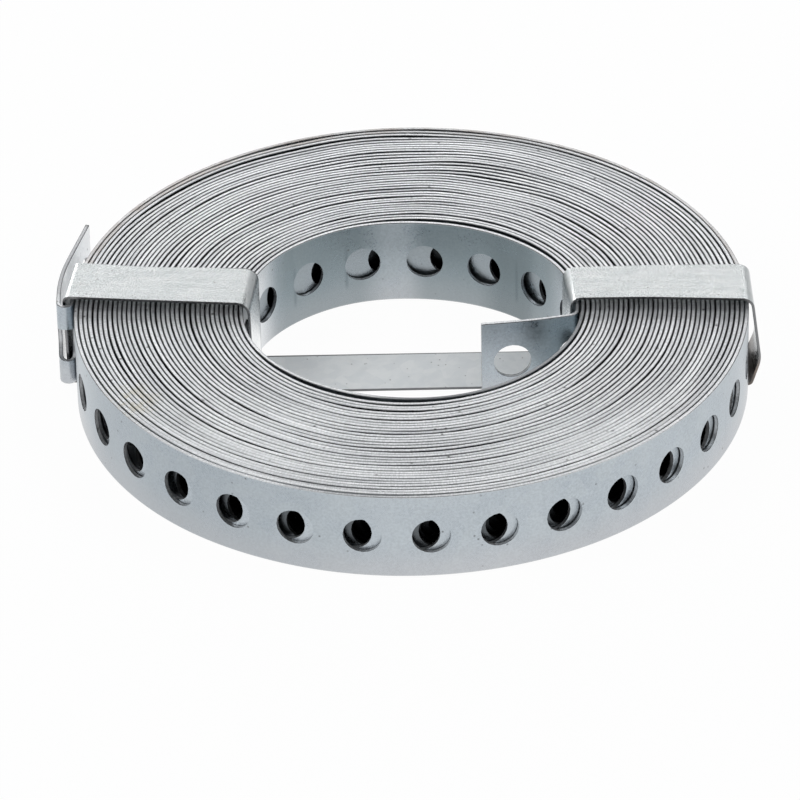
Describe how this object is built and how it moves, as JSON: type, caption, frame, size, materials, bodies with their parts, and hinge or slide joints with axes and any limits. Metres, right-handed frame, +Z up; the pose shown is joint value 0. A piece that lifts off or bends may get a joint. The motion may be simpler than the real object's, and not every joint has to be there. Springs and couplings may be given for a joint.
{
  "type": "perforated steel strap coil",
  "caption": "Galvanised perforated fixing strap wound into a flat coil, its ends left free, tied across the bore with a thin steel binding strip.",
  "frame": {"origin": "on the floor under the coil's axis, at the bottom centre of the box around the part", "axes": "+Z up along the coil's axis, +Y away from the viewer of the picture, +X to the viewer's right"},
  "size_m": [0.1302, 0.1248, 0.0192],
  "materials": {
    "strap_zinc": "hot-dip galvanised, satin",
    "binding_zinc": "zinc coated, satin"
  },
  "bodies": {
    "root": {"perforated_strap": "strap_zinc", "binding_strip": "binding_zinc"}
  },
  "joints": []
}
